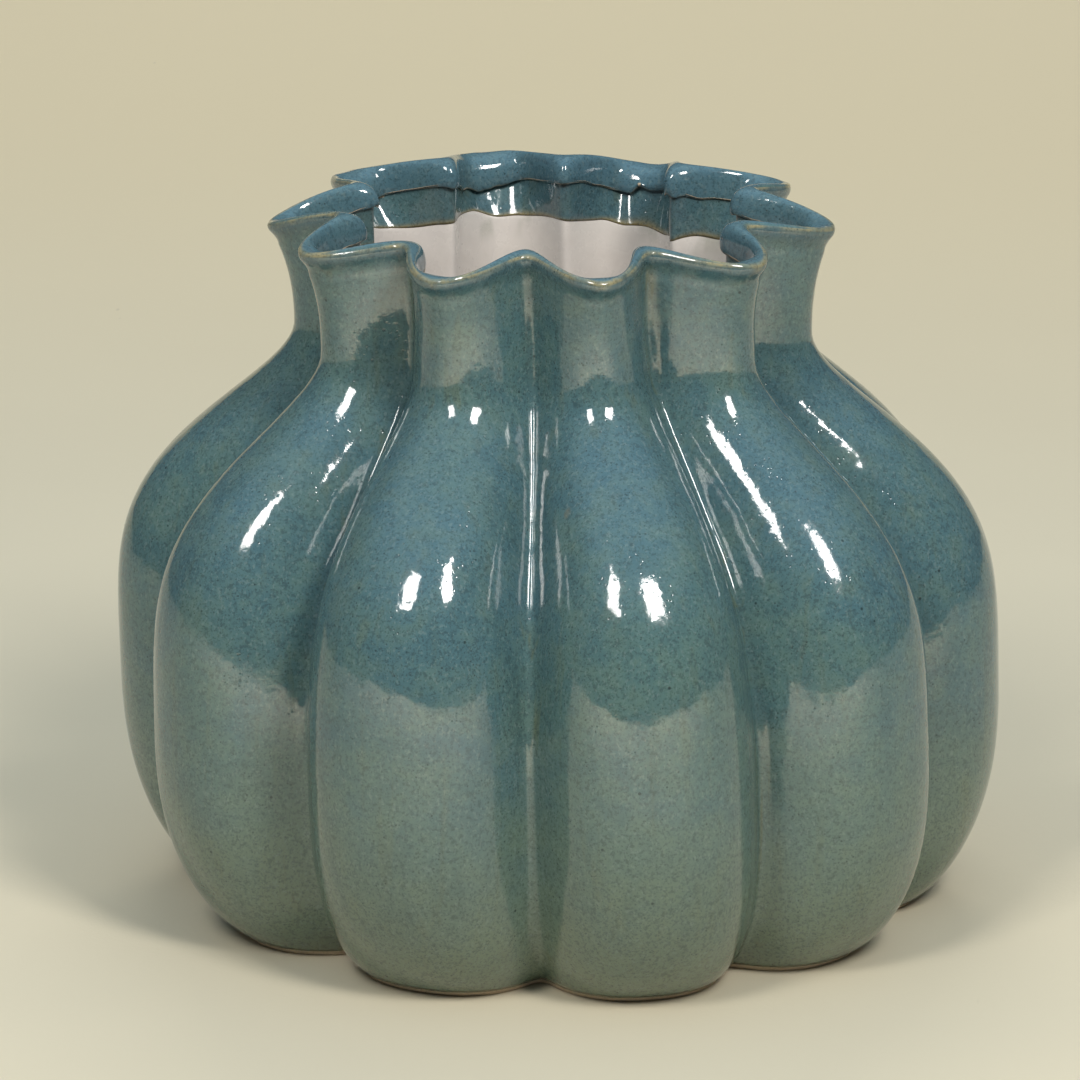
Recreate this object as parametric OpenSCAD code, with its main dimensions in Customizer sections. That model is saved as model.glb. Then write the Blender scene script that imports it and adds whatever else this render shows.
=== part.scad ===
// Lobed ceramic vase in the shape of an open-topped pumpkin.
// A stoneware shell carries two separate fired coats: a coloured glaze over the
// outside, the rolled lip and the top of the neck, and a pale liner glaze inside.
// Origin: on the table, at the middle of the foot. +Z up, -Y is the front seam,
// and +X and -X each run through the crown of a lobe.

/* [Body] */
// Width over two opposite lobes at the belly
body_w = 300; // [240:5:360]
// Height of the belly's widest line above the table
belly_z = 75; // [65:1:90]
// Number of lobes round the body
lobes = 10; // [8:2:12]
// Width over two opposite lobes where they turn under to the foot
foot_w = 238; // [200:2:244]
// Squareness of each lobe of the body in plan, from round to boxy
lobe_sq = 2.3; // [2:0.1:2.8]
// How far the mouth leans towards -X, as it settled in the kiln
lean = 4.5; // [0:0.5:8]

/* [Neck and mouth] */
// Height of the narrowest line of the neck
neck_z = 197; // [190:1:204]
// Width over two opposite lobes at the neck
neck_w = 174; // [160:2:190]
// Width over two opposite tips of the scalloped mouth
rim_w = 190; // [180:2:210]
// Height of the mouth's edge at a lobe tip
rim_h = 234; // [228:1:245]
// How much higher the mouth's edge stands at a seam
rim_lift = 5; // [2:0.5:8]

/* [Seams] */
// Roundness of the bottom of each seam, as a share of half a lobe
seam_soft = 0.12; // [0.06:0.01:0.18]
// Depth of a seam below the lobes at the foot
seam_foot = 19; // [12:1:22]
// Depth of a seam at the belly
seam_belly = 25; // [15:1:30]
// Depth of a seam at the shoulder, where it is deepest
seam_shoulder = 34; // [22:1:38]
// Depth of a seam at the neck
seam_neck = 17.5; // [12:0.5:20]
// Depth of a notch in the mouth
seam_rim = 22; // [16:0.5:25]
// Squareness of the waves of the mouth, which are rounder than the body's lobes
mouth_sq = 1.5; // [1.3:0.1:2]

/* [Wall] */
// Thickness of the wall, coats included
wall = 6.4; // [5:0.2:8]
// Thickness of the floor inside, coats included
floor_t = 9; // [7:0.5:12]
// Radial width of the rolled lip
lip_w = 10.8; // [8.5:0.1:11.5]
// How far the rolled lip hangs down inside the mouth
lip_h = 8.6; // [7:0.2:10]
// Width of the recess under the foot
recess_w = 150; // [120:5:160]
// Depth of the recess under the foot
recess_d = 2.5; // [1.5:0.5:3]

/* [Glaze] */
// Thickness of the coloured outer glaze
glaze_t = 0.8; // [0.6:0.1:1.2]
// Thickness of the pale liner glaze
liner_t = 0.6; // [0.5:0.1:1]
// Height above the table where the outer glaze stops, clear of the kiln shelf
glaze_foot = 2; // [1.5:0.5:4]
// How far below the mouth's edge the two glazes meet inside the neck
glaze_line = 18; // [14:1:24]

/* [Hidden] */

belly_r = body_w / 2;
foot_r = foot_w / 2;
neck_r = neck_w / 2;
rim_r = rim_w / 2;
shoulder_z = belly_z + (neck_z - belly_z) * 0.6;
pitch = 360 / lobes;

// Places across one lobe, from its crown at 0 to the seam at 1, closer together
// where the flank turns down into the seam.
half = [0, 0.4, 0.72, 0.92];
across = concat([-1], [for (i = [3:-1:1]) -half[i]], half);
phis = [for (l = [0:lobes - 1]) for (p = across) [(l + p / 2) * pitch, p]];
M = len(phis);

function mix(a, b, t) = a + (b - a) * t;
function ease(t) = let (u = min(1, max(0, t))) u * u * (3 - 2 * u);
function span(z, a, b) = (z - a) / (b - a);

// Radius of a lobe's crown: full at the belly, tucked under at the foot, an S into
// the neck and a flare up to the mouth.
function crown_r(z) =
    z < belly_z ? mix(foot_r, belly_r, pow(1 - pow(1 - max(0, z) / belly_z, 2.4), 0.7))
    : z < neck_z ? mix(belly_r, neck_r, ease(pow(span(z, belly_z, neck_z), 2.15)))
    : mix(neck_r, rim_r, pow(span(z, neck_z, rim_h), 2.3));

// Depth of a seam below the crown
function seam_d(z) =
    z < belly_z ? mix(seam_foot, seam_belly, ease(z / belly_z))
    : z < shoulder_z ? mix(seam_belly, seam_shoulder, ease(span(z, belly_z, shoulder_z)))
    : z < neck_z ? mix(seam_shoulder, seam_neck, ease(span(z, shoulder_z, neck_z)))
    : mix(seam_neck, seam_rim, ease(span(z, neck_z, rim_h)));

// Bulge of a lobe at p, which is 1 at the crown and 0 in the seam, with the seam's
// bottom rounded over the share w0 of the half pitch
function raw(w, sq, soft) = pow(max(0, 1 - pow(max(0, 1 - w), sq)), 1 / soft);
function bulge(p, sq, soft, w0) =
    let (low = raw(w0, sq, soft)) (raw(norm([1 - abs(p), w0]), sq, soft) - low) / (1 - low);

// A point at angle a, radius r, height z, with the lean of the fired body. The small
// share keeps the middle of the whole box over the origin.
function put(a, r, z) = [r * cos(a) - lean * (span(z, belly_z, rim_h) - 0.0464), r * sin(a), z];

// Height of the mouth's edge at p
function edge_lift(p) = rim_lift * (1 - bulge(p, 2, 0.4, 0.2));

// Finished outside surface. The lobes grow rounder and the seams wider from the
// shoulder to the mouth.
function up(z) = ease(span(z, 2 * belly_z, rim_h));
function skin(q, z) =
    put(q[0], crown_r(z) - seam_d(z) * (1 - bulge(q[1], mix(lobe_sq, mouth_sq, up(z)), mix(2.1, 1.95, up(z)),
                                                  mix(1, 2.4, up(z)) * seam_soft)),
        z + edge_lift(q[1]) * pow(max(0, span(z, neck_z, rim_h)), 1.5));

// Finished inside surface, a wall's thickness in, with softer lobes
function slope(z) = (crown_r(z + 1) - crown_r(z - 1)) / 2;
function inside_r(q, z) =
    let (k = mix(1, 0.72, ease((z - 2 * belly_z) / 40)))
    crown_r(z) - wall * min(1.7, norm([1, slope(z)])) - seam_d(z) * (1 - 0.45 * (1 - k) - k * bulge(q[1], 2.1, 1.9, 1.6 * seam_soft));
function lining(q, z, k) = put(q[0], inside_r(q, z) * k, z);

// Point of the rolled lip, a in from the mouth's edge and b up from it
function lip(q, a, b) =
    put(q[0], rim_r - a - seam_rim * (1 - bulge(q[1], mix(mouth_sq, mouth_sq + 0.2, a / lip_w), mix(1.95, 1.6, a / lip_w),
                                                mix(2.4, 3, a / lip_w) * seam_soft)),
        rim_h + edge_lift(q[1]) + b);

// Heights of the rings outside, and the section of the lip from its sharp outer
// edge, over the top, to the trimmed lower edge inside
out_z = concat([for (i = [0:5]) mix(glaze_foot, belly_z, pow(i / 5, 1.8))],
               [for (i = [1:7]) mix(belly_z, neck_z, pow(i / 7, 0.9))],
               [for (i = [1:3]) mix(neck_z, rim_h, i / 3)]);
lip_ab = [[0.24, 0.9], [0.56, 0.7], [0.86, -1.6], [1, -4.8], [0.97, -lip_h + 0.6], [0.86, -lip_h]];
meet_z = rim_h - glaze_line;
in_z = concat([for (i = [1:2]) mix(meet_z, neck_z - 10, i / 2)],
              [for (i = [1:5]) mix(neck_z - 10, belly_z, pow(i / 5, 1.1))],
              [belly_z * 0.5, floor_t + 12]);

// The finished surface as rings, from the foot, over the lip, down to the floor
rings = concat(
    [for (z = out_z) [for (q = phis) skin(q, z)]],
    [for (s = lip_ab) [for (q = phis) lip(q, s[0] * lip_w, s[1])]],
    [[for (q = phis) lining(q, meet_z, 1)]],
    [for (z = in_z) [for (q = phis) lining(q, z, 1)]],
    [[for (q = phis) let (s = lining(q, floor_t + 12, 0.955)) [s[0], s[1], floor_t + 3]],
     [for (q = phis) let (s = lining(q, floor_t + 12, 0.86)) [s[0], s[1], floor_t]]]);
K = len(rings);
meet = len(out_z) + len(lip_ab);

// The same rings set back by a coat's thickness along the surface's own normal
function unit(v) = v / norm(v);
function back(k, i, t) =
    let (u = rings[k][(i + 1) % M] - rings[k][(i + M - 1) % M],
         w = rings[min(k + 1, K - 1)][i] - rings[max(k - 1, 0)][i])
    rings[k][i] - t * unit(cross(u, w));
function set_back(k) =
    let (t = k < meet ? glaze_t : liner_t)
    k == 0 ? [for (p = rings[0]) let (s = 1 - t / norm([p[0], p[1]])) [p[0] * s, p[1] * s, p[2]]]
    : k == meet ? [for (i = [0:M - 1]) let (p = rings[k][i], s = 1 + t / norm([p[0], p[1]])) [p[0] * s, p[1] * s, p[2]]]
    : k == K - 1 ? [for (p = rings[k]) p - [0, 0, t]]
    : [for (i = [0:M - 1]) back(k, i, t)];
under = [for (k = [0:K - 1]) set_back(k)];

// Triangles between ring a and ring b, outward when b follows a
function band(a, b) = [for (i = [0:M - 1]) let (j = (i + 1) % M)
    each [[a * M + i, b * M + i, b * M + j], [a * M + i, b * M + j, a * M + j]]];

// A closed coat between the finished surface and the one set back from it
module coat(from, to) {
    n = to - from + 1;
    pts = [for (k = [from:to]) each rings[k]];
    inner = [for (k = [to:-1:from]) each under[k]];
    polyhedron(concat(pts, inner),
               [for (k = [0:2 * n - 1]) each band(k, (k + 1) % (2 * n))], convexity = 10);
}

module clay_body() {
    // rim of the flat foot, and the shallow recess inside it
    base = [[for (q = phis) put(q[0], recess_w / 2 - 2, recess_d)],
            [for (q = phis) put(q[0], recess_w / 2, 0)],
            [for (p = under[0]) let (s = 1 - 1.5 / norm([p[0], p[1]])) [p[0] * s, p[1] * s, 0]]];
    loop = concat(base, under);
    n = len(loop);
    top = put(0, 0, floor_t - liner_t);
    low = put(0, 0, recess_d);
    color("#b9a58c")
        polyhedron(concat([for (r = loop) each r], [[top[0], 0, top[2]], [low[0], 0, low[2]]]),
                   concat([for (k = [0:n - 2]) each band(k, k + 1)],
                          [for (i = [0:M - 1]) [(n - 1) * M + i, n * M, (n - 1) * M + (i + 1) % M]],
                          [for (i = [0:M - 1]) [(i + 1) % M, n * M + 1, i]]),
                   convexity = 10);
}

module outer_glaze() {
    color("#5c8587") coat(0, meet);
}

// The liner runs from the glaze line down over the whole floor
module liner_glaze() {
    n = K - meet;
    tip = put(0, 0, floor_t);
    sheet = [for (k = [meet:K - 1]) each rings[k]];
    deep = [for (k = [K - 1:-1:meet]) each under[k]];
    color("#c9bfb4")
        polyhedron(concat(sheet, deep, [[tip[0], 0, floor_t], [tip[0], 0, floor_t - liner_t]]),
                   concat([for (k = [0:n - 2]) each band(k, k + 1)],
                          [for (k = [n:2 * n - 2]) each band(k, k + 1)],
                          band(2 * n - 1, 0),
                          [for (i = [0:M - 1]) [(n - 1) * M + i, 2 * n * M, (n - 1) * M + (i + 1) % M]],
                          [for (i = [0:M - 1]) [n * M + (i + 1) % M, 2 * n * M + 1, n * M + i]]),
                   convexity = 10);
}

clay_body();
outer_glaze();
liner_glaze();
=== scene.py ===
import bpy, math
import numpy as np
from mathutils import Vector, Matrix


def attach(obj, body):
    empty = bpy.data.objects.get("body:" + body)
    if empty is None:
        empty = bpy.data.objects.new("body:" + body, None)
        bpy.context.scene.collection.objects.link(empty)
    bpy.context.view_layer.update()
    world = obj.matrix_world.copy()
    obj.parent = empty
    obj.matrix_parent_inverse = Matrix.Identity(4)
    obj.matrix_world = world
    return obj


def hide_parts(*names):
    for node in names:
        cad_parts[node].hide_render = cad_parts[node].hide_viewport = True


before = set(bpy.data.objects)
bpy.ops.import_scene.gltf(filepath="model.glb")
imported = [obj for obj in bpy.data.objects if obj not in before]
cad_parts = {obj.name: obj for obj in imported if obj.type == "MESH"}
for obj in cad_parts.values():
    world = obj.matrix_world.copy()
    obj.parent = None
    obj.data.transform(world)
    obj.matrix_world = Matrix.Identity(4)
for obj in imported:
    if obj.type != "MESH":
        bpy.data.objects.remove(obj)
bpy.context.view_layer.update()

# --- geometry begin
# Everything here is in millimetres, in the frame of the CAD part, and becomes metres in make_mesh.
BELLY_R, BELLY_Z, FOOT_R = 150.0, 75.0, 119.0
NECK_R, NECK_Z, RIM_R, RIM_H = 87.0, 197.0, 95.0, 234.0
SHOULDER_Z = BELLY_Z + (NECK_Z - BELLY_Z) * 0.6
D_FOOT, D_BELLY, D_SHOULDER, D_NECK, D_RIM = 19.0, 25.0, 34.0, 17.5, 22.0
RIM_LIFT, LEAN, WALL = 5.0, 4.5, 6.4
LIP_W, LIP_H = 10.8, 8.6
GLAZE_FOOT, GLAZE_LINE, FLOOR_T = 2.0, 18.0, 9.0
GLAZE_T, LINER_T = 0.8, 0.6
RECESS_R, RECESS_D = 75.0, 2.5
N = 480                                   # points round, 48 to a lobe
PI = math.pi


def ease(t):
    t = np.clip(t, 0, 1)
    return t * t * (3 - 2 * t)


def mix(a, b, t):
    return a + (b - a) * t


def waves(seed, u, lo, hi, n=6):
    """A smooth periodic wobble of about unit size over u, which runs once round in 1."""
    rng = np.random.default_rng(seed)
    out = np.zeros_like(np.asarray(u, float))
    for _ in range(n):
        k = int(rng.integers(lo, hi + 1))
        out = out + rng.normal() * np.sin(2 * PI * (k * u + rng.random()))
    return out / math.sqrt(n / 2)


def crown_r(z):
    z = np.asarray(z, float)
    low = mix(FOOT_R, BELLY_R, (1 - (1 - np.clip(z, 0, BELLY_Z) / BELLY_Z) ** 2.4) ** 0.7)
    mid = mix(BELLY_R, NECK_R, ease(np.clip((z - BELLY_Z) / (NECK_Z - BELLY_Z), 0, 1) ** 2.15))
    top = mix(NECK_R, RIM_R, np.clip((z - NECK_Z) / (RIM_H - NECK_Z), 0, None) ** 2.3)
    return np.where(z < BELLY_Z, low, np.where(z < NECK_Z, mid, top))


def seam_d(z):
    z = np.asarray(z, float)
    a = mix(D_FOOT, D_BELLY, ease(z / BELLY_Z))
    b = mix(D_BELLY, D_SHOULDER, ease((z - BELLY_Z) / (SHOULDER_Z - BELLY_Z)))
    c = mix(D_SHOULDER, D_NECK, ease((z - SHOULDER_Z) / (NECK_Z - SHOULDER_Z)))
    d = mix(D_NECK, D_RIM, ease((z - NECK_Z) / (RIM_H - NECK_Z)))
    return np.where(z < BELLY_Z, a, np.where(z < SHOULDER_Z, b, np.where(z < NECK_Z, c, d)))


def raw(w, sq, soft):
    return np.clip(1 - np.clip(1 - w, 0, None) ** sq, 0, None) ** (1 / soft)


def bulge(p, sq, soft, w0):
    low = raw(w0, sq, soft)
    return (raw(np.hypot(1 - np.abs(p), w0), sq, soft) - low) / (1 - low)


U = np.arange(N) / N                      # 0 at +X, once round anticlockwise
LOBE = U * 10
P = 2 * (LOBE - np.round(LOBE))           # 0 at a crown, +-1 in a seam
SEAM_U = (np.arange(10) + 0.5) / 10       # the ten seams


def per_lobe(vals):
    """Ten values, one at each crown from +X anticlockwise, blended smoothly round."""
    v = np.asarray(vals, float)
    i = np.floor(LOBE).astype(int)
    t = ease(LOBE - i)
    return mix(v[i % 10], v[(i + 1) % 10], t)


def per_seam(vals):
    """Ten values, one at each seam; the first is the seam after the +X crown."""
    v = np.asarray(vals, float)
    x = LOBE - 0.5
    i = np.floor(x).astype(int)
    t = ease(x - i)
    return mix(v[i % 10], v[(i + 1) % 10], t)


# Unevenness: where each seam runs, how far each crown stands out, and how
# the mouth's tips and notches sit. Order: from +X anticlockwise.
SEAM_TURN_RIM = per_seam([0.7, 0.3, 0.2, -0.2, 0.3, 0.3, 0.5, -0.4, -3.5, -2.2])      # degrees
SEAM_TURN_BODY = per_seam([0.3, -0.4, 0.5, -0.3, 0.0, 0.4, -0.6, 0.8, 0.5, -0.3])
CROWN_RIM = per_lobe([0.6, 0.5, -0.5, 0.1, -0.2, 0.1, -0.6, 0.3, -1.3, 0.3])          # mm
CROWN_BODY = per_lobe([0.0, 0.6, -0.6, 0.5, -0.4, 0.2, 0.4, 0.0, 0.3, -0.5])
TIP_Z = per_lobe([-0.1, 0.9, -2.0, 0.5, -0.1, -3.7, -0.4, 0.3, 0.7, 0.6])
NOTCH_Z = per_seam([1.0, 0.8, -0.5, 0.4, -0.3, -0.1, -0.9, -0.1, -0.6, 0.1])


def rim_share(z):
    return np.clip((z - 150.0) / (RIM_H - 150.0), 0, 1)


def put(turn, r, z):
    a = 2 * PI * U + np.radians(turn)
    z = np.broadcast_to(z, a.shape)
    return np.stack([r * np.cos(a) - LEAN * ((z - BELLY_Z) / (RIM_H - BELLY_Z) - 0.0464), r * np.sin(a), z], -1)


def turn_at(z):
    return mix(SEAM_TURN_BODY, SEAM_TURN_RIM, ease(rim_share(z)))


def shape_at(z):
    """Squareness, softness and seam roundness of a lobe at height z."""
    t = ease((z - 150.0) / (RIM_H - 150.0))
    return mix(2.3, 1.5, t), mix(2.1, 1.95, t), mix(0.12, 0.28, t)


def edge_lift():
    b = bulge(P, 2.0, 0.4, 0.2)
    return RIM_LIFT * (1 - b) + TIP_Z * b + NOTCH_Z * (1 - b)


def skin(z):
    """Finished outside surface at height z."""
    sq, soft, w0 = shape_at(z)
    b = bulge(P, sq, soft, w0)
    r = crown_r(z) - seam_d(z) * (1 - b)
    r = r + b * mix(CROWN_BODY, CROWN_RIM, ease(rim_share(z)))
    # broad unevenness of the cast wall
    r = r + 0.35 * waves(11, U + 0.0009 * z, 2, 9) * ease(z / 25.0)
    zz = z + edge_lift() * np.clip((z - NECK_Z) / (RIM_H - NECK_Z), 0, None) ** 1.5
    # the lip's outer face stands a little proud of the neck
    d = RIM_H - z
    r = r + 0.75 * ease(1 - abs(d - 2.2) / 2.8) - 0.3 * ease(1 - abs(d - 6.5) / 2.5)
    return put(turn_at(z), r, zz)


# Section of the rolled lip: a in from the mouth's edge, b up from it
LIP = np.array([[0.25, -0.1], [0.95, 0.5], [2.4, 0.95], [4.6, 0.9], [6.9, 0.25], [8.8, -1.0], [10.1, -2.9],
                [10.8, -5.2], [10.85, -6.9], [10.5, -8.1], [9.95, -8.3], [9.3, -8.0], [8.7, -7.8],
                [8.55, -8.8]])


def catmull(pts, per):
    out = []
    n = len(pts)
    for i in range(n - 1):
        p0, p1, p2, p3 = pts[max(i - 1, 0)], pts[i], pts[i + 1], pts[min(i + 2, n - 1)]
        for j in range(per):
            t = j / per
            out.append(0.5 * ((2 * p1) + (-p0 + p2) * t + (2 * p0 - 5 * p1 + 4 * p2 - p3) * t * t + (-p0 + 3 * p1 - 3 * p2 + p3) * t ** 3))
    out.append(pts[-1])
    return np.array(out)


def bump(u0, width, height):
    """One soft bump round the mouth, at u0 (share of a turn)."""
    d = (U - u0 + 0.5) % 1 - 0.5
    return height * np.exp(-(d / width) ** 2)


def round_table(rows):
    """Values at places round the mouth, blended smoothly between them."""
    x = np.array([r[0] for r in rows])
    y = np.array([r[1] for r in rows])
    x = np.concatenate([x - 1, x, x + 1])
    y = np.concatenate([y, y, y])
    i = np.searchsorted(x, U, side="right") - 1
    return mix(y[i], y[i + 1], ease((U - x[i]) / (x[i + 1] - x[i])))


# how far the trimmed lower edge of the lip hangs, in mm, more where the clay was left heavy
RAGGED = (round_table([(0.0, 0.3), (0.05, -0.4), (0.085, 0.5), (0.121, 0.7), (0.131, 1.0), (0.144, 1.0), (0.168, 0.2), (0.192, -1.3),
                       (0.202, -2.2), (0.21, 0.5), (0.221, 1.3), (0.229, 0.3), (0.237, -0.7), (0.263, -0.3), (0.283, 0.0),
                       (0.298, 1.3), (0.304, 2.0), (0.312, 3.0), (0.327, 2.7), (0.338, 0.6), (0.348, 0.0), (0.362, -0.7),
                       (0.371, 0.0), (0.379, 0.7), (0.41, 0.9), (0.435, 1.0), (0.444, -1.7), (0.465, -1.2), (0.49, -0.2),
                       (0.55, 0.6), (0.60, -0.5), (0.66, 0.4), (0.74, -0.3), (0.80, 0.5), (0.87, -0.4), (0.94, 0.6)])
          + 0.3 * waves(22, U, 40, 110, 10) * np.clip(0.5 + waves(23, U, 3, 8), 0.25, 1.4))


def lip(a, b):
    t = min(1.0, a / LIP_W)
    sq, soft, w0 = shape_at(RIM_H)
    bl = bulge(P, mix(sq, 1.9, t), mix(soft, 1.45, t), mix(w0, 0.72, math.sqrt(t)))
    r = RIM_R - a - D_RIM * (1 - bl) + bl * CROWN_RIM
    r = r + 0.35 * waves(11, U + 0.0009 * RIM_H, 2, 9) + 0.35 * t * waves(31, U, 5, 22)
    hang = ease((-b - 3.5) / 4.5) * (a > 4.0)
    if b < -9:
        hang = 0.0
    z = RIM_H + edge_lift() + b - hang * RAGGED + 0.25 * waves(32, U, 4, 18) * ease(t * 2) * (b > -6)
    return put(turn_at(RIM_H), r, z)


def slope(z):
    return (crown_r(z + 1) - crown_r(z - 1)) / 2


def lining(z, k=1.0, zz=None, off=0.0):
    """Finished inside surface at height z."""
    b = bulge(P, 2.1, 1.9, 0.2)
    t = ease((z - 150.0) / 40.0)
    soft = mix(1.0, 0.86, t)
    r = crown_r(z) - (WALL - 0.8 * t + off) * np.minimum(1.7, np.hypot(1, slope(z))) - seam_d(z) * (1 - b * soft - (1 - soft) * 0.45)
    r = r + 0.4 * waves(41, U + 0.0011 * z, 3, 14)
    return put(turn_at(z), r * k, z if zz is None else zz)


MEET = (round_table([(0.0, 217.0), (0.06, 214.5), (0.125, 215.5), (0.138, 216.5), (0.165, 213.6), (0.183, 213.0), (0.21, 214.0),
                     (0.227, 216.0), (0.254, 218.3), (0.283, 216.5), (0.298, 216.0), (0.32, 218.6), (0.335, 219.5), (0.358, 218.5),
                     (0.379, 216.3), (0.41, 219.0), (0.435, 221.0), (0.48, 217.0), (0.56, 215.0), (0.64, 217.5), (0.72, 215.5),
                     (0.80, 217.0), (0.88, 214.5), (0.95, 216.5)])
        + 0.3 * waves(52, U, 14, 36))
MEET = np.minimum(MEET - 0.7, RIM_H + edge_lift() - 13.8)


def normals(g, closed_v=False):
    """Outward normals of a grid of rings, rings ordered foot to lip to floor."""
    du = np.roll(g, -1, 1) - np.roll(g, 1, 1)
    dv = np.empty_like(g)
    dv[1:-1] = g[2:] - g[:-2]
    dv[0] = g[1] - g[0]
    dv[-1] = g[-1] - g[-2]
    n = np.cross(du, dv)
    return n / np.maximum(np.linalg.norm(n, axis=-1, keepdims=True), 1e-9)


def curvature(g):
    """Largest bend of the surface at each point, per mm, positive where it is convex."""
    n = normals(g)
    out = []
    for ax in (0, 1):
        k = []
        for s in (1, -1):
            dp = np.roll(g, s, ax) - g
            dn = np.roll(n, s, ax) - n
            k.append((dp * dn).sum(-1) / np.maximum((dp * dp).sum(-1), 1e-6))
        k = (k[0] + k[1]) / 2
        if ax == 0:
            k[0] = k[1]
            k[-1] = k[-2]
        out.append(k)
    return out[0], out[1]


def blur(a, nu, nv):
    for _ in range(nu):
        a = (a + np.roll(a, 1, 1) + np.roll(a, -1, 1)) / 3
    for _ in range(nv):
        b = a.copy()
        b[1:-1] = (a[1:-1] + a[2:] + a[:-2]) / 3
        a = b
    return a


def even_heights(z0, z1, step):
    """Heights from z0 to z1 spaced evenly along the crown's own line."""
    z = np.linspace(z0, z1, 4000)
    r = crown_r(z)
    s = np.concatenate([[0], np.cumsum(np.hypot(np.diff(z), np.diff(r)))])
    n = int(s[-1] / step)
    return np.interp(np.linspace(0, s[-1], n + 1), s, z)


BAND = 14                                 # rows between the shadow gap under the lip and the glaze line


def outer_grid():
    zs = np.concatenate([even_heights(GLAZE_FOOT, 222.0, 2.6)[:-1], np.linspace(222.0, RIM_H - 0.9, 14)])
    g = [skin(float(z)) for z in zs]
    for a, b in catmull(LIP, 3):
        g.append(lip(a, b))
    last = g[-1]
    end = lining(MEET)
    for t in np.linspace(0, 1, BAND + 1)[1:]:
        g.append(mix(last, end, t))
    return np.array(g)


def liner_grid():
    last, end = lip(LIP[-1][0], LIP[-1][1]), lining(MEET)
    g = []
    # the liner runs on a little way under the coloured glaze
    for t, d in ((0.60, 0.62), (0.78, 0.5), (0.92, 0.3), (1.0, 0.12)):
        p = mix(last, end, t)
        k = 1 + d / np.hypot(p[:, 0], p[:, 1])
        g.append(p * np.stack([k, k, np.ones(N)], -1))
    low = lining(206.0)
    for t in (0.12, 0.45, 0.75):
        g.append(mix(end, low, t))
    for z in np.concatenate([[206.0, 203.0], even_heights(FLOOR_T + 13.0, 200.0, 3.2)[::-1]]):
        g.append(lining(float(z)))
    base = lining(FLOOR_T + 13.0)
    c = np.array([LEAN * (BELLY_Z / (RIM_H - BELLY_Z) + 0.0464), 0.0, 0.0])
    for t in np.linspace(0, 1, 9)[1:]:
        an = t * PI / 2
        k = 1 - 0.13 * (1 - math.cos(an))
        g.append(np.stack([c[0] + (base[:, 0] - c[0]) * k, base[:, 1] * k, np.full(N, FLOOR_T + 13.0 - 13.0 * math.sin(an))], -1))
    edge = g[-1]
    for t in (0.85, 0.7, 0.52, 0.34, 0.17):
        k = t
        ring = np.stack([c[0] + (edge[:, 0] - c[0]) * k, edge[:, 1] * k, np.full(N, FLOOR_T)], -1)
        g.append(ring)
    return np.array(g), c
# --- geometry end


def skeleton(k_rows, budget):
    """Rows of a fine sheet worth keeping in the hidden sheet behind it, at most `budget` of them."""
    mid = k_rows[:, :: N // 20]
    keep = [0]
    for k in range(1, len(k_rows) - 1):
        a = mid[keep[-1]]
        ok = True
        for j in range(keep[-1] + 1, k + 1):
            t = (j - keep[-1]) / (k + 1 - keep[-1])
            if np.abs(mid[j] - mix(a, mid[k + 1], t)).max() > budget:
                ok = False
                break
        if not ok:
            keep.append(k)
    keep.append(len(k_rows) - 1)
    return keep


def shell_faces(n_rows, closed):
    """Quads between successive rows of N points, wrapping round, and back to row 0 when closed."""
    i = np.arange(N)
    j = (i + 1) % N
    out = []
    for k in range(n_rows if closed else n_rows - 1):
        a, b = k * N, ((k + 1) % n_rows) * N
        out.append(np.stack([a + i, a + j, b + j, b + i], -1))
    return np.concatenate(out)


def make_mesh(name, rows, closed=True, tips=(), attrs=None):
    """Rows of points in mm -> a closed smooth mesh. tips: (row index, point, facing up) fans that close a row."""
    rows = np.asarray(rows)
    verts = rows.reshape(-1, 3)
    faces = shell_faces(len(rows), closed)
    tris = []
    for row, point, forward in tips:
        c = len(verts)
        verts = np.vstack([verts, point])
        i = np.arange(N) + row * N
        j = (np.arange(N) + 1) % N + row * N
        tris.append(np.stack([i, j, np.full(N, c)] if forward else [j, i, np.full(N, c)], -1))
    me = bpy.data.meshes.new(name)
    loops = np.concatenate([faces.ravel()] + [t.ravel() for t in tris]).astype(np.int32)
    sizes = np.concatenate([np.full(len(faces), 4)] + [np.full(len(t), 3) for t in tris]).astype(np.int32)
    me.vertices.add(len(verts))
    me.vertices.foreach_set("co", (verts / 1000.0).astype(np.float32).ravel())
    me.loops.add(len(loops))
    me.loops.foreach_set("vertex_index", loops)
    me.polygons.add(len(sizes))
    me.polygons.foreach_set("loop_start", np.concatenate([[0], np.cumsum(sizes)[:-1]]).astype(np.int32))
    me.polygons.foreach_set("loop_total", sizes)
    me.polygons.foreach_set("use_smooth", np.ones(len(sizes), bool))
    me.update(calc_edges=True)
    me.validate()
    for key, val in (attrs or {}).items():
        full = np.zeros(len(verts), np.float32)
        v = np.asarray(val, np.float32).ravel()
        full[:len(v)] = v
        me.attributes.new(key, "FLOAT", "POINT").data.foreach_set("value", full)
    ob = bpy.data.objects.new(name, me)
    bpy.context.scene.collection.objects.link(ob)
    return ob


def set_back(g, t):
    return g - t * normals(g)


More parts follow.
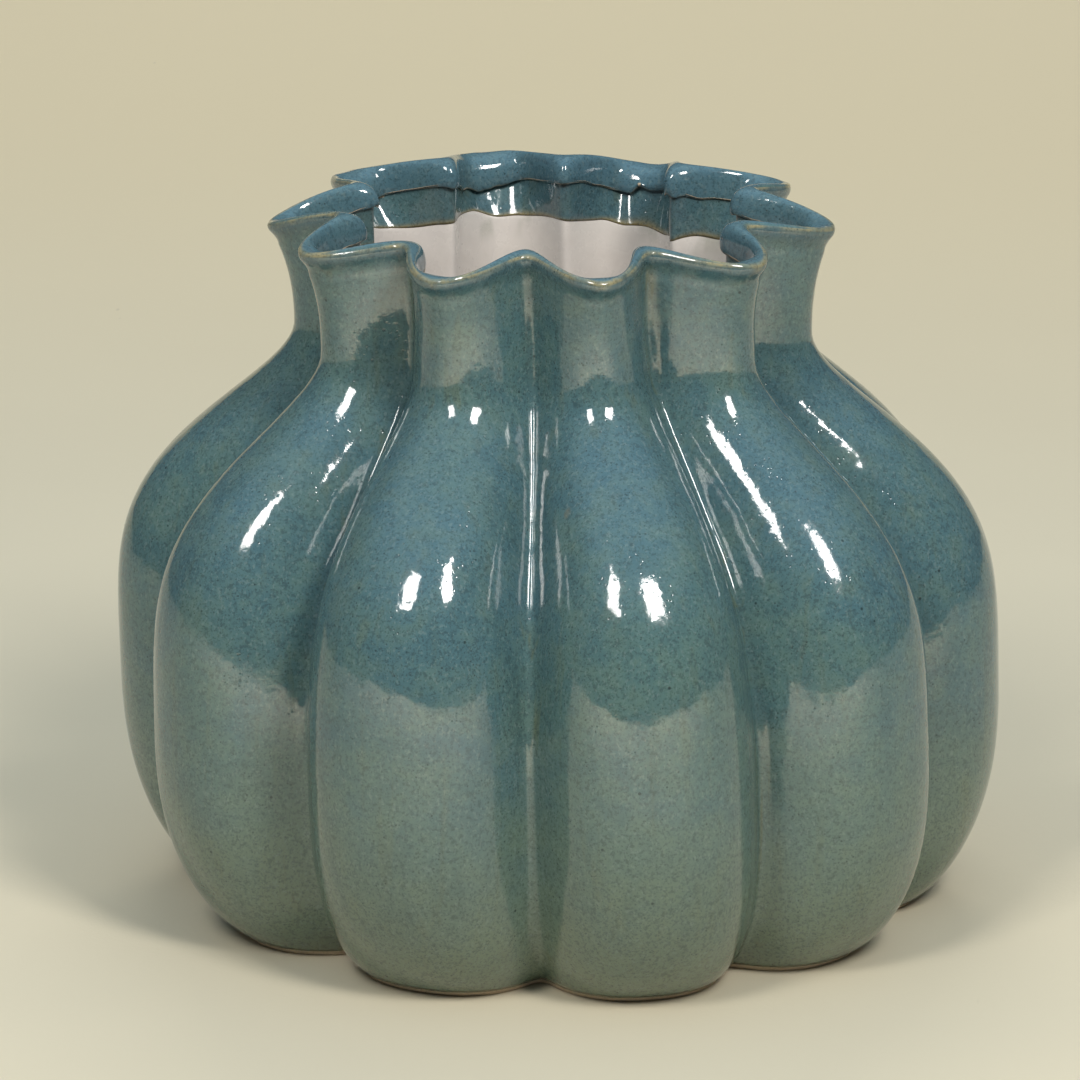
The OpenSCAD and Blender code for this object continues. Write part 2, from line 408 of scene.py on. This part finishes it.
# --- the three pieces
G = outer_grid()
K = len(G)
LIP0 = K - BAND - (len(LIP) - 1) * 3 - 1     # first row of the lip
keep = skeleton(G, 0.22)
BACK = set_back(G, GLAZE_T)
BACK[0] = G[0] * [1 - GLAZE_T / 116.0, 1 - GLAZE_T / 116.0, 1]
BACK[-1] = G[-1] + (G[-1] - [0, 0, 0]) * [GLAZE_T / 76.0, GLAZE_T / 76.0, 0]
K0, K1 = curvature(G)
convex = np.maximum(K0, 0.42 * K1)
hollow = np.maximum(-K0, -K1)
brk = blur(np.clip((convex - 0.05) / 0.5, 0, 1), 1, 0)
row = np.arange(K)[:, None]
rag = np.exp(-((row - (LIP0 + 3 * 9.2)) / 1.3) ** 2) * np.ones((1, N))
down = np.abs(G[..., 2] - G[-1][None, :, 2])
line = np.where(row > K - 16, np.exp(-(down / (0.75 + 0.9 * np.clip(bump(0.19, 0.03, 1.0) + 0.3 * waves(61, U, 5, 15), 0, 1.5))) ** 2), 0)
pool = blur(np.clip((hollow - 0.02) / 0.16, 0, 1), 1, 1)
bead = np.exp(-((G[..., 2] - (RIM_H + edge_lift()[None, :] - 2.0)) / 2.4) ** 2) * (row <= LIP0)
lobe_side = np.sin(2 * PI * (U * 10))[None, :] * np.ones((K, 1))
# painted shade: marks the inside of the neck below the lip, which is drawn darker in place of the shade under the
# lip's overhang
inside = (row > LIP0 + 33) * np.ones((1, N))
brk = brk * np.where(row > LIP0 + 7, 0.35, 1.0)
# painted light: marks the lip's rolled inner face, which is drawn a lighter blue in place of the light it catches
roll = ((row > LIP0 + 4) & (row <= LIP0 + 28)) * np.ones((1, N))
glaze = make_mesh("vase_glaze", np.concatenate([G, BACK[keep[::-1]]]), attrs={
    "brk": brk, "rag": rag, "line": line, "pool": pool, "bead": bead, "side": lobe_side, "inside": inside, "roll": roll})

L, LC = liner_grid()
KL = len(L)
keep_l = skeleton(L, 0.3)
LBACK = set_back(L, LINER_T)
LBACK[0] = L[0] * [1 + 0.2 / 80, 1 + 0.2 / 80, 1]
for k in range(KL - 6, KL):
    LBACK[k] = L[k] - [0, 0, LINER_T]
kk = len(keep_l)
# the two sheets meet at the top edge; each is closed by a fan at the middle of the floor
order = np.concatenate([LBACK[keep_l[::-1]], L])
lpool = blur(np.clip((np.maximum(-curvature(L)[0], -curvature(L)[1]) - 0.02) / 0.1, 0, 1), 1, 1)
liner = make_mesh("vase_liner", order, closed=False, tips=[
    (0, [LC[0], 0, FLOOR_T - LINER_T], False), (len(order) - 1, [LC[0], 0, FLOOR_T], True)],
    attrs={"pool": np.concatenate([np.zeros((kk, N)), lpool])})

# the clay: recess, foot, then close under both coats to the middle of the floor
foot = BACK[0]
fc = np.array([LEAN * (BELLY_Z / (RIM_H - BELLY_Z) + 0.0464), 0.0])
ang = 2 * PI * U


def disc(r, z):
    return np.stack([fc[0] + r * np.cos(ang), fc[1] + r * np.sin(ang), np.full(N, z) if np.isscalar(z) else z], -1)


def foot_ring(inset, z):
    c = np.array([fc[0], fc[1], 0.0])
    d = foot - c
    k = 1 - inset / np.hypot(d[:, 0], d[:, 1])
    return np.stack([c[0] + d[:, 0] * k, d[:, 1] * k, np.full(N, z) + 0.06 * waves(71, U, 4, 30)], -1)


pit = [disc(r, RECESS_D + 0.1 * waves(72 + r, U, 2, 9)) for r in (12, 30, 48, 64)]
clay_rows = pit + [disc(RECESS_R - 2.0, RECESS_D), disc(RECESS_R - 1.0, RECESS_D - 0.5), disc(RECESS_R - 0.3, 0.6), disc(RECESS_R + 0.5, 0.08)]
edge_in = foot_ring(2.3, 0.1)
for t in (0.25, 0.5, 0.75):
    clay_rows.append(mix(disc(RECESS_R + 0.5, 0.08), edge_in, t) + np.stack([0 * U, 0 * U, 0.07 + 0.05 * waves(90 + int(t * 8), U, 3, 40)], -1))
clay_rows += [edge_in, foot_ring(1.2, 0.25), foot_ring(0.5, 0.9), foot_ring(0.12, 1.6)]
under_g, under_l = set_back(G, GLAZE_T + 0.03), set_back(L, LINER_T + 0.03)
for k in keep:
    clay_rows.append(under_g[k] if k not in (0, K - 1) else BACK[k])
for k in keep_l[2:]:
    clay_rows.append(under_l[k] if k < KL - 6 else L[k] - [0, 0, LINER_T + 0.03])
low = min(float(np.min(r[:, 2])) for r in clay_rows)
clay_rows = np.array(clay_rows) - [0, 0, low]
nc = len(clay_rows)
clay = make_mesh("vase_clay", clay_rows, closed=False, tips=[
    (0, [fc[0], 0, RECESS_D - low], False), (nc - 1, [LC[0], 0, FLOOR_T - LINER_T - 0.03 - low], True)],
    attrs={"under": np.arange(nc)[:, None] * np.ones((1, N)) < 12.5})


# --- materials
class Nodes:
    """A short hand for node trees; colours are linear."""

    def __init__(self, name):
        self.mat = bpy.data.materials.new(name)
        self.mat.use_nodes = True
        self.t = self.mat.node_tree
        self.t.nodes.clear()
        self.out = self.t.nodes.new("ShaderNodeOutputMaterial")
        self.bsdf = self.t.nodes.new("ShaderNodeBsdfPrincipled")
        self.t.links.new(self.bsdf.outputs[0], self.out.inputs[0])
        self.coord = self.t.nodes.new("ShaderNodeTexCoord").outputs["Object"]

    def put(self, sock, v):
        if isinstance(v, bpy.types.NodeSocket):
            self.t.links.new(v, sock)
        elif isinstance(v, (tuple, list)) and len(v) == 3 and sock.type == "RGBA":
            sock.default_value = (*v, 1.0)
        else:
            sock.default_value = v

    def stretch(self, x, y, z, shift=0.0):
        n = self.t.nodes.new("ShaderNodeMapping")
        self.t.links.new(self.coord, n.inputs["Vector"])
        n.inputs["Scale"].default_value = (x, y, z)
        n.inputs["Location"].default_value = (shift, shift * 0.7, -shift)
        return n.outputs[0]

    def noise(self, scale, detail=3.0, rough=0.55, vec=None, warp=0.0, lac=2.0):
        n = self.t.nodes.new("ShaderNodeTexNoise")
        self.t.links.new(vec if vec is not None else self.coord, n.inputs["Vector"])
        n.inputs["Scale"].default_value = scale
        n.inputs["Detail"].default_value = detail
        n.inputs["Roughness"].default_value = rough
        n.inputs["Lacunarity"].default_value = lac
        n.inputs["Distortion"].default_value = warp
        return n.outputs["Fac"]

    def cells(self, scale, vec=None):
        n = self.t.nodes.new("ShaderNodeTexVoronoi")
        self.t.links.new(vec if vec is not None else self.coord, n.inputs["Vector"])
        n.inputs["Scale"].default_value = scale
        return n.outputs["Distance"]

    def attr(self, name):
        n = self.t.nodes.new("ShaderNodeAttribute")
        n.attribute_name = name
        return n.outputs["Fac"]

    def height(self):
        n = self.t.nodes.new("ShaderNodeSeparateXYZ")
        self.t.links.new(self.coord, n.inputs[0])
        return n.outputs["Z"]

    def ramp(self, v, a, b, lo=0.0, hi=1.0):
        n = self.t.nodes.new("ShaderNodeMapRange")
        n.interpolation_type = "SMOOTHSTEP"
        self.put(n.inputs["Value"], v)
        for k, x in (("From Min", a), ("From Max", b), ("To Min", lo), ("To Max", hi)):
            n.inputs[k].default_value = x
        return n.outputs["Result"]

    def math(self, op, a, b=0.5, clamp=False):
        n = self.t.nodes.new("ShaderNodeMath")
        n.operation = op
        n.use_clamp = clamp
        self.put(n.inputs[0], a)
        self.put(n.inputs[1], b)
        return n.outputs[0]

    def mul(self, a, b):
        return self.math("MULTIPLY", a, b)

    def add(self, a, b, clamp=False):
        return self.math("ADD", a, b, clamp)

    def blend(self, fac, a, b, mode="MIX"):
        n = self.t.nodes.new("ShaderNodeMix")
        n.data_type = "RGBA"
        n.blend_type = mode
        n.clamp_factor = True
        self.put(n.inputs["Factor"], fac)
        self.put(n.inputs[6], a)
        self.put(n.inputs[7], b)
        return n.outputs[2]

    def bump(self, height, distance, normal=None, strength=1.0):
        n = self.t.nodes.new("ShaderNodeBump")
        n.inputs["Strength"].default_value = strength
        n.inputs["Distance"].default_value = distance
        self.put(n.inputs["Height"], height)
        if normal is not None:
            self.t.links.new(normal, n.inputs["Normal"])
        return n.outputs[0]


def teal_glaze():
    m = Nodes("teal_glaze")
    z = m.height()
    broad = m.noise(9.0, 2.0, 0.5)
    patch = m.noise(34.0, 4.0, 0.6, warp=0.4)
    cloud = m.noise(110.0, 5.0, 0.62)
    fine = m.noise(620.0, 3.0, 0.6)
    runs = m.noise(210.0, 3.0, 0.55, vec=m.stretch(1, 1, 0.045), warp=0.25)
    runs2 = m.noise(85.0, 3.0, 0.55, vec=m.stretch(1, 1, 0.07, 0.31))
    col = m.blend(m.ramp(m.add(m.mul(broad, 0.6), m.mul(patch, 0.4)), 0.38, 0.62), (0.074, 0.152, 0.178), (0.088, 0.164, 0.160))
    col = m.blend(m.mul(m.ramp(cloud, 0.40, 0.72), 0.55), col, (0.108, 0.172, 0.146))
    col = m.blend(m.mul(m.ramp(cloud, 0.58, 0.30), 0.45), col, (0.048, 0.108, 0.128))
    # greener towards the foot
    low = m.add(m.ramp(z, 0.115, 0.0, 0.0, 0.95), m.mul(m.math("SUBTRACT", patch, 0.5), 0.5))
    col = m.blend(m.math("MULTIPLY", low, 0.8, True), col, (0.158, 0.200, 0.132))
    # thin runs down the wall, olive and brown, stronger in the seams
    pool = m.attr("pool")
    streak = m.mul(m.ramp(runs, 0.55, 0.72), m.add(0.18, m.mul(pool, 0.55)))
    col = m.blend(streak, col, (0.125, 0.132, 0.062))
    dark_run = m.mul(m.ramp(runs2, 0.56, 0.75), m.add(0.22, m.mul(pool, 0.5)))
    col = m.blend(dark_run, col, (0.036, 0.076, 0.080))
    col = m.blend(m.mul(pool, 0.22), col, (0.050, 0.090, 0.078))
    # painted shade: the inside of the neck below the lip is darkened, standing in for the shade there
    col = m.blend(m.mul(m.attr("inside"), 0.30), col, (0.070, 0.125, 0.142))
    # painted light: the lip's rolled inner face is made a lighter blue, standing in for the light it catches
    col = m.blend(m.mul(m.attr("roll"), 0.60), col, (0.090, 0.178, 0.225))
    # the glaze runs thick in a bead under the mouth and breaks to yellow where it is thin
    col = m.blend(m.mul(m.attr("bead"), m.ramp(patch, 0.3, 0.6, 0.45, 0.9)), col, (0.052, 0.112, 0.146))
    worn = m.ramp(m.noise(160.0, 4.0, 0.6), 0.34, 0.62, 0.35, 1.0)
    brk = m.attr("brk")
    col = m.blend(m.math("MULTIPLY", m.ramp(brk, 0.22, 0.95), worn, True), col, (0.300, 0.268, 0.150))
    col = m.blend(m.math("MULTIPLY", m.attr("rag"), m.ramp(cloud, 0.35, 0.6), True), col, (0.225, 0.180, 0.092))
    col = m.blend(m.attr("line"), col, (0.270, 0.215, 0.100))
    # specks of iron, small and a few larger
    dots = m.ramp(m.cells(520.0), 0.24, 0.10)
    dots = m.mul(dots, m.ramp(m.noise(120.0, 2.0), 0.44, 0.62, 0.1, 0.75))
    big = m.ramp(m.cells(150.0, m.stretch(1, 1, 1, 0.5)), 0.10, 0.055)
    big = m.mul(big, m.ramp(m.noise(60.0, 2.0, vec=m.stretch(1, 1, 1, 0.9)), 0.5, 0.6, 0.0, 0.85))
    grain = m.math("MAXIMUM", m.ramp(fine, 0.50, 0.68, 0.0, 0.42), m.ramp(m.noise(1250.0, 2.0, 0.6), 0.52, 0.68, 0.0, 0.45))
    col = m.blend(m.math("MAXIMUM", m.math("MAXIMUM", dots, big), grain), col, (0.018, 0.034, 0.036))
    pale = m.ramp(m.noise(900.0, 2.0, 0.6, vec=m.stretch(1, 1, 0.7, 1.7)), 0.54, 0.70, 0.0, 0.34)
    col = m.blend(pale, col, (0.19, 0.26, 0.25))
    # a few long spots where iron bled through
    rust = m.ramp(m.cells(27.0, m.stretch(1, 1, 0.55, 4.1)), 0.075, 0.035)
    rust = m.mul(rust, m.ramp(m.noise(11.0, 1.0, vec=m.stretch(1, 1, 1, 6.3)), 0.50, 0.56))
    col = m.blend(m.mul(rust, m.ramp(cloud, 0.35, 0.6, 0.25, 0.9)), col, (0.30, 0.185, 0.065))
    m.put(m.bsdf.inputs["Base Color"], col)
    smear = m.noise(26.0, 4.0, 0.6, vec=m.stretch(1, 1, 0.5, 2.2))
    rough = m.add(m.ramp(smear, 0.35, 0.75, 0.045, 0.105), m.mul(grain, 0.12))
    m.put(m.bsdf.inputs["Roughness"], m.add(rough, m.mul(m.attr("line"), 0.12)))
    m.bsdf.inputs["IOR"].default_value = 1.70
    swell = m.noise(17.0, 2.0, 0.5, vec=m.stretch(1, 1, 0.55))
    ripple = m.noise(58.0, 2.0, 0.5, vec=m.stretch(1, 1, 0.6, 0.2))
    shoulder = m.mul(m.ramp(z, 0.105, 0.135), m.ramp(z, 0.196, 0.184))
    dent = m.mul(m.ramp(m.cells(62.0, m.stretch(1, 1, 0.8, 2.6)), 0.30, 0.0),
                 m.mul(shoulder, m.ramp(m.noise(21.0, 1.0, vec=m.stretch(1, 1, 1, 7.7)), 0.47, 0.56)))
    n = m.bump(swell, 0.0011)
    n = m.bump(ripple, 0.00032, n)
    n = m.bump(m.noise(150.0, 2.0, 0.5, vec=m.stretch(1, 1, 0.8, 5.1)), 0.00013, n)
    n = m.bump(dent, 0.00022, n)
    n = m.bump(runs2, 0.00010, n)
    n = m.bump(m.noise(300.0, 3.0, 0.55), 0.000035, n)
    n = m.bump(m.math("SUBTRACT", 0.0, m.add(dots, big)), 0.00005, n)
    m.put(m.bsdf.inputs["Normal"], n)
    return m.mat


def pale_liner():
    m = Nodes("pale_liner_glaze")
    z = m.height()
    patch = m.noise(22.0, 3.0, 0.55)
    cloud = m.noise(120.0, 4.0, 0.6)
    col = m.blend(m.ramp(patch, 0.35, 0.68), (0.72, 0.655, 0.600), (0.78, 0.715, 0.650))
    col = m.blend(m.mul(m.ramp(cloud, 0.5, 0.75), 0.35), col, (0.64, 0.575, 0.52))
    col = m.blend(m.mul(m.attr("pool"), 0.5), col, (0.58, 0.52, 0.47))
    # a few drips and spots of the outer glaze below the line
    drip = m.mul(m.ramp(m.noise(46.0, 3.0, 0.5, vec=m.stretch(1, 1, 0.5)), 0.60, 0.66), m.ramp(z, 0.205, 0.215))
    col = m.blend(m.mul(drip, 0.5), col, (0.36, 0.36, 0.28))
    spots = m.mul(m.ramp(m.cells(95.0), 0.085, 0.05), m.ramp(m.noise(30.0, 2.0, vec=m.stretch(1, 1, 1, 3.0)), 0.55, 0.60))
    col = m.blend(spots, col, (0.10, 0.085, 0.06))
    col = m.blend(m.ramp(z, 0.018, 0.0092, 0.0, 0.35), col, (0.50, 0.44, 0.38))
    m.put(m.bsdf.inputs["Base Color"], col)
    m.put(m.bsdf.inputs["Roughness"], m.ramp(cloud, 0.3, 0.7, 0.20, 0.34))
    m.bsdf.inputs["IOR"].default_value = 1.52
    n = m.bump(m.noise(30.0, 2.0), 0.0006)
    n = m.bump(m.noise(260.0, 3.0), 0.00006, n)
    m.put(m.bsdf.inputs["Normal"], n)
    return m.mat


def bare_stoneware():
    m = Nodes("bare_stoneware")
    patch = m.noise(24.0, 4.0, 0.6)
    grit = m.noise(900.0, 4.0, 0.7)
    col = m.blend(m.ramp(patch, 0.35, 0.66), (0.54, 0.44, 0.32), (0.46, 0.355, 0.245))
    col = m.blend(m.mul(m.ramp(grit, 0.5, 0.7), 0.5), col, (0.30, 0.225, 0.15))
    iron = m.mul(m.ramp(m.cells(340.0), 0.16, 0.08), m.ramp(m.noise(80.0, 2.0), 0.48, 0.6))
    col = m.blend(iron, col, (0.09, 0.055, 0.035))
    # the foot's standing edge is rubbed and stained
    worn = m.mul(m.ramp(m.height(), 0.0012, 0.0), m.ramp(m.noise(150.0, 4.0, 0.65), 0.42, 0.62))
    col = m.blend(m.mul(worn, 0.6), col, (0.25, 0.20, 0.155))
    rings = m.t.nodes.new("ShaderNodeTexWave")
    rings.wave_type = "RINGS"
    rings.rings_direction = "Z"
    m.t.links.new(m.coord, rings.inputs["Vector"])
    rings.inputs["Scale"].default_value = 130.0
    rings.inputs["Distortion"].default_value = 1.2
    wipe = m.mul(rings.outputs["Fac"], m.attr("under"))
    col = m.blend(m.mul(wipe, 0.16), col, (0.36, 0.28, 0.19))
    m.put(m.bsdf.inputs["Base Color"], col)
    m.put(m.bsdf.inputs["Roughness"], m.ramp(grit, 0.3, 0.7, 0.72, 0.92))
    n = m.bump(wipe, 0.00012)
    n = m.bump(grit, 0.00014, n)
    m.put(m.bsdf.inputs["Normal"], n)
    return m.mat


def board():
    m = Nodes("painted_board")
    col = m.blend(m.ramp(m.noise(3.0, 3.0, 0.55), 0.3, 0.7), FLOOR_A, FLOOR_B)
    n = m.t.nodes.new("ShaderNodeSeparateXYZ")
    m.t.links.new(m.coord, n.inputs[0])
    # painted light: the board is made lighter towards the front, standing in for the light falling on the floor in
    # front of the vase
    col = m.blend(m.ramp(n.outputs["Y"], -0.22, -0.45, 0.0, 0.95), col, (0.84, 0.73, 0.54))
    col = m.blend(m.ramp(n.outputs["Y"], 0.25, 1.2, 0.0, 0.9), col, (0.705, 0.588, 0.390))
    scuff = m.mul(m.ramp(m.cells(55.0, m.stretch(1, 0.35, 1)), 0.06, 0.02), m.ramp(m.noise(9.0, 2.0), 0.55, 0.62))
    col = m.blend(m.mul(scuff, 0.35), col, (0.42, 0.36, 0.27))
    m.put(m.bsdf.inputs["Base Color"], col)
    m.bsdf.inputs["Roughness"].default_value = 0.62
    m.bsdf.inputs["Specular IOR Level"].default_value = 0.3
    m.put(m.bsdf.inputs["Normal"], m.bump(m.noise(420.0, 3.0), 0.00008))
    return m.mat


FLOOR_A, FLOOR_B = (0.645, 0.573, 0.425), (0.668, 0.594, 0.440)
glaze.data.materials.append(teal_glaze())
liner.data.materials.append(pale_liner())
clay.data.materials.append(bare_stoneware())
for piece, node, where in ((glaze, "outer_glaze", "teal_glaze"), (liner, "liner_glaze", "pale_liner_glaze"),
                           (clay, "clay_body", "bare_stoneware")):
    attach(piece, "root")
    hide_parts(node)

# --- floor, light and camera
AZ, EL, DIST, ROLL = math.radians(5.04), math.radians(16.55), 2.201, 0.0045
right = Vector((math.cos(AZ), math.sin(AZ), 0))
back = Vector((math.sin(AZ) * math.cos(EL), -math.cos(AZ) * math.cos(EL), math.sin(EL)))
up = back.cross(right)
aim = right * -0.0065 + Vector((0, 0, 0.12185))
spot = aim + back * DIST


def plate(name, front, rear, half, rise):
    """The board the vase stands on, running back and curving up behind; it ends in front of the vase."""
    rows = [(front, 0.0)] + [(y, 0.0) for y in np.linspace(front + 0.3, rear - 0.6, 6)]
    rows += [(rear - 0.6 + 0.6 * math.sin(a), rise * (1 - math.cos(a))) for a in np.linspace(0, PI / 2, 12)[1:]]
    verts, faces = [], []
    fwd = Vector((-math.sin(AZ), math.cos(AZ), 0))
    for y, z in rows:
        for s in (-1, 1):
            v = fwd * y + right * (half * s)
            verts.append((v.x, v.y, z))
    for k in range(len(rows) - 1):
        a = 2 * k
        faces.append((a, a + 1, a + 3, a + 2))
    me = bpy.data.meshes.new(name)
    me.from_pydata(verts, [], faces)
    for q in me.polygons:
        q.use_smooth = True
    ob = bpy.data.objects.new(name, me)
    bpy.context.scene.collection.objects.link(ob)
    ob.data.materials.append(board())
    return ob


floor = plate("board", -0.80, 3.2, 1.9, 0.6)

view_az = AZ - PI / 2                    # direction of the camera seen from the vase


def softbox(name, az, el, dist, w, h, watts, colour):
    a = view_az + math.radians(az)
    e = math.radians(el)
    d = Vector((math.cos(a) * math.cos(e), math.sin(a) * math.cos(e), math.sin(e)))
    li = bpy.data.lights.new(name, "AREA")
    li.shape = "RECTANGLE"
    li.size, li.size_y = w, h
    li.energy = watts
    li.color = colour
    ob = bpy.data.objects.new(name, li)
    bpy.context.scene.collection.objects.link(ob)
    ob.location = Vector((0, 0, 0.12)) + d * dist
    ob.rotation_euler = d.to_track_quat("Z", "Y").to_euler()
    return ob


softbox("softbox_left", -30.0, 46.5, 2.3, 0.46, 0.72, 20.5, (1.0, 0.975, 0.94))
softbox("softbox_right", 32.0, 46.5, 2.3, 0.46, 0.72, 32.0, (1.0, 0.975, 0.94))
wash = softbox("backdrop_wash", 180.0, 50.0, 2.6, 1.8, 0.8, 42.0, (1.0, 0.97, 0.90))
wash.location = Vector((0, 0, 0)) - Vector((math.cos(view_az), math.sin(view_az), 0)) * 2.4 + Vector((0, 0, 2.6))
wash.rotation_euler = (0, 0, view_az + PI / 2)
wash.visible_glossy = False
apron = softbox("foreground_wash", 0.0, 60.0, 1.0, 1.4, 0.30, 2.6, (1.0, 0.96, 0.88))
apron.location = Vector((math.cos(view_az), math.sin(view_az), 0)) * 0.70 + Vector((0, 0, 0.60))
apron.rotation_euler = (0, 0, view_az + PI / 2)
apron.data.spread = math.radians(70)
apron.visible_glossy = False
world = bpy.data.worlds.new("room")
bpy.context.scene.world = world
world.use_nodes = True
wt = world.node_tree
sky = wt.nodes.new("ShaderNodeTexCoord")
sep = wt.nodes.new("ShaderNodeSeparateXYZ")
rise = wt.nodes.new("ShaderNodeMapRange")
rise.interpolation_type = "SMOOTHSTEP"
rise.inputs["From Min"].default_value, rise.inputs["From Max"].default_value = 0.45, 0.98
tone = wt.nodes.new("ShaderNodeMix")
tone.data_type = "RGBA"
tone.inputs[6].default_value = (0.085, 0.10, 0.115, 1)
tone.inputs[7].default_value = (0.40, 0.58, 0.74, 1)
wt.links.new(sky.outputs["Generated"], sep.inputs[0])
wt.links.new(sep.outputs["Z"], rise.inputs["Value"])
wt.links.new(rise.outputs["Result"], tone.inputs["Factor"])
wt.links.new(tone.outputs[2], wt.nodes["Background"].inputs["Color"])
world.node_tree.nodes["Background"].inputs["Strength"].default_value = 1.0

cam_data = bpy.data.cameras.new("camera")
cam_data.sensor_width = 36.0
cam_data.lens = 6487.0 / 1080.0 * 36.0
cam_data.clip_start, cam_data.clip_end = 0.1, 30.0
cam = bpy.data.objects.new("camera", cam_data)
bpy.context.scene.collection.objects.link(cam)
c, sn = math.cos(ROLL), math.sin(ROLL)
rx, uy = right * c + up * sn, up * c - right * sn
cam.matrix_world = Matrix(((rx.x, uy.x, back.x, spot.x), (rx.y, uy.y, back.y, spot.y), (rx.z, uy.z, back.z, spot.z), (0, 0, 0, 1)))
bpy.context.scene.camera = cam
bpy.context.scene.view_settings.view_transform = "Standard"
